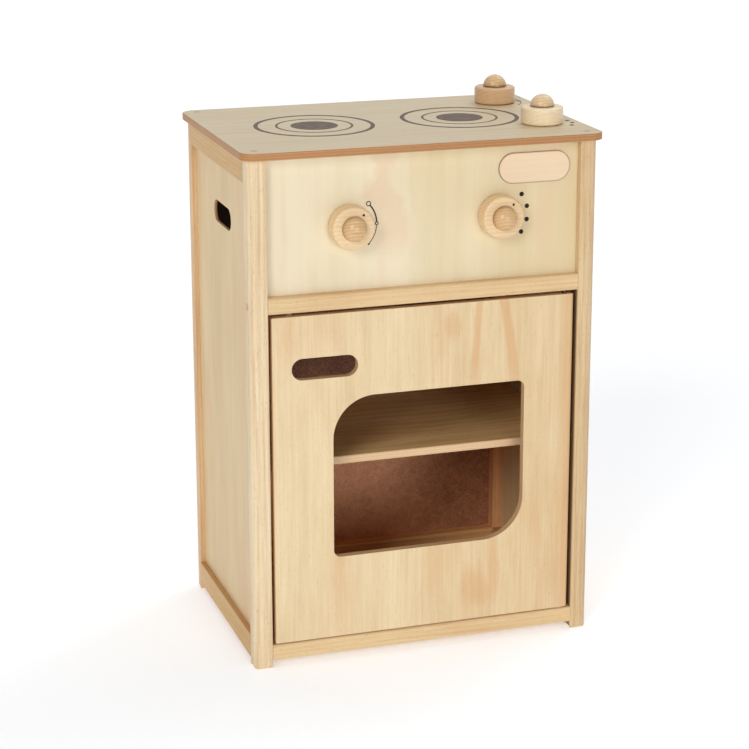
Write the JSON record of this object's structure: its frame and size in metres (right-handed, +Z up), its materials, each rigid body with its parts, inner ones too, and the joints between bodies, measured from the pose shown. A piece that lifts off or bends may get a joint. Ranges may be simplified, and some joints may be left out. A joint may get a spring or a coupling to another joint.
{
  "type": "toy oven",
  "caption": "Wooden toy oven for pretend cooking: posts and rails round a cabinet with a shelf, a hinged door with a window and finger slot, a printed hob board and turning dials on domed pegs.",
  "frame": {"origin": "on the floor under the middle of the outline, which reaches from the domes of the panel dials to the rear edge of the top board", "axes": "+Z up, -Y to the front where the door and the control panel are, +X to the hinge side of the door"},
  "size_m": [0.395, 0.29, 0.5919],
  "materials": {
    "solid_wood": "clear satin varnish over straight-grained solid wood",
    "panel_plywood": "clear satin varnish over birch plywood",
    "control_plywood": "clear satin varnish over pale plywood",
    "hob_plywood": "clear satin varnish over plywood, browner at the edge",
    "hardboard": "bare smooth hardboard",
    "dial_wood": "turned and satin varnished",
    "peg_wood": "turned and satin varnished",
    "dowel_wood": "end grain, sanded flush",
    "plate_face": "bare pale face with a brown edge line",
    "dark_ink": "printed ink",
    "burner_ink": "printed ink",
    "steel": "bright zinc-plated",
    "washer_nylon": "plain"
  },
  "bodies": {
    "cabinet": {"front_left_post": "solid_wood", "front_right_post": "solid_wood", "rear_left_post": "solid_wood", "rear_right_post": "solid_wood", "middle_front_rail": "solid_wood", "bottom_front_rail": "solid_wood", "left_top_side_rail": "solid_wood", "left_bottom_side_rail": "solid_wood", "right_top_side_rail": "solid_wood", "right_bottom_side_rail": "solid_wood", "top_rear_rail": "solid_wood", "bottom_rear_rail": "solid_wood", "left_side_panel": "panel_plywood", "right_side_panel": "panel_plywood", "back_panel": "hardboard", "floor_board": "panel_plywood", "shelf": "panel_plywood", "control_panel": "control_plywood", "top_board": "hob_plywood", "name_plate": "plate_face", "hinge_washer": "washer_nylon", "door_stop_peg": "dowel_wood", "left_panel_peg": "peg_wood", "right_panel_peg": "peg_wood", "front_top_peg": "peg_wood", "rear_top_peg": "peg_wood", "left_burner_print": "burner_ink", "right_burner_print": "burner_ink", "left_dial_arc": "dark_ink", "right_dial_dots": "dark_ink", "rear_dial_arc": "dark_ink", "front_dial_dots": "dark_ink", "top_board_dowels": "dowel_wood", "rail_dowels": "dowel_wood", "back_panel_nails": "steel"},
    "door_leaf": {"door": "panel_plywood", "upper_hinge_pin": "steel", "lower_hinge_pin": "steel"},
    "left_panel_dial_turn": {"left_panel_dial": "dial_wood", "left_panel_pointer": "dark_ink"},
    "right_panel_dial_turn": {"right_panel_dial": "dial_wood", "right_panel_pointer": "dark_ink"},
    "front_top_dial_turn": {"front_top_dial": "dial_wood", "front_top_pointer": "dark_ink"},
    "rear_top_dial_turn": {"rear_top_dial": "dial_wood", "rear_top_pointer": "dark_ink"}
  },
  "joints": [
    {"name": "door_hinge", "type": "hinge", "parent": "cabinet", "child": "door_leaf", "pos_m": [0.158, -0.11605, 0.2], "axis": [0, 0, 1], "range_deg": [0, 135]},
    {"name": "left_panel_dial_spin", "type": "hinge", "parent": "cabinet", "child": "left_panel_dial_turn", "pos_m": [-0.082, -0.12205, 0.477], "axis": [0, -1, 0], "continuous": true},
    {"name": "right_panel_dial_spin", "type": "hinge", "parent": "cabinet", "child": "right_panel_dial_turn", "pos_m": [0.082, -0.12205, 0.477], "axis": [0, -1, 0], "continuous": true},
    {"name": "front_top_dial_spin", "type": "hinge", "parent": "cabinet", "child": "front_top_dial_turn", "pos_m": [0.154, -0.05405, 0.57], "axis": [0, 0, 1], "continuous": true},
    {"name": "rear_top_dial_spin", "type": "hinge", "parent": "cabinet", "child": "rear_top_dial_turn", "pos_m": [0.154, 0.08795, 0.57], "axis": [0, 0, 1], "continuous": true}
  ]
}
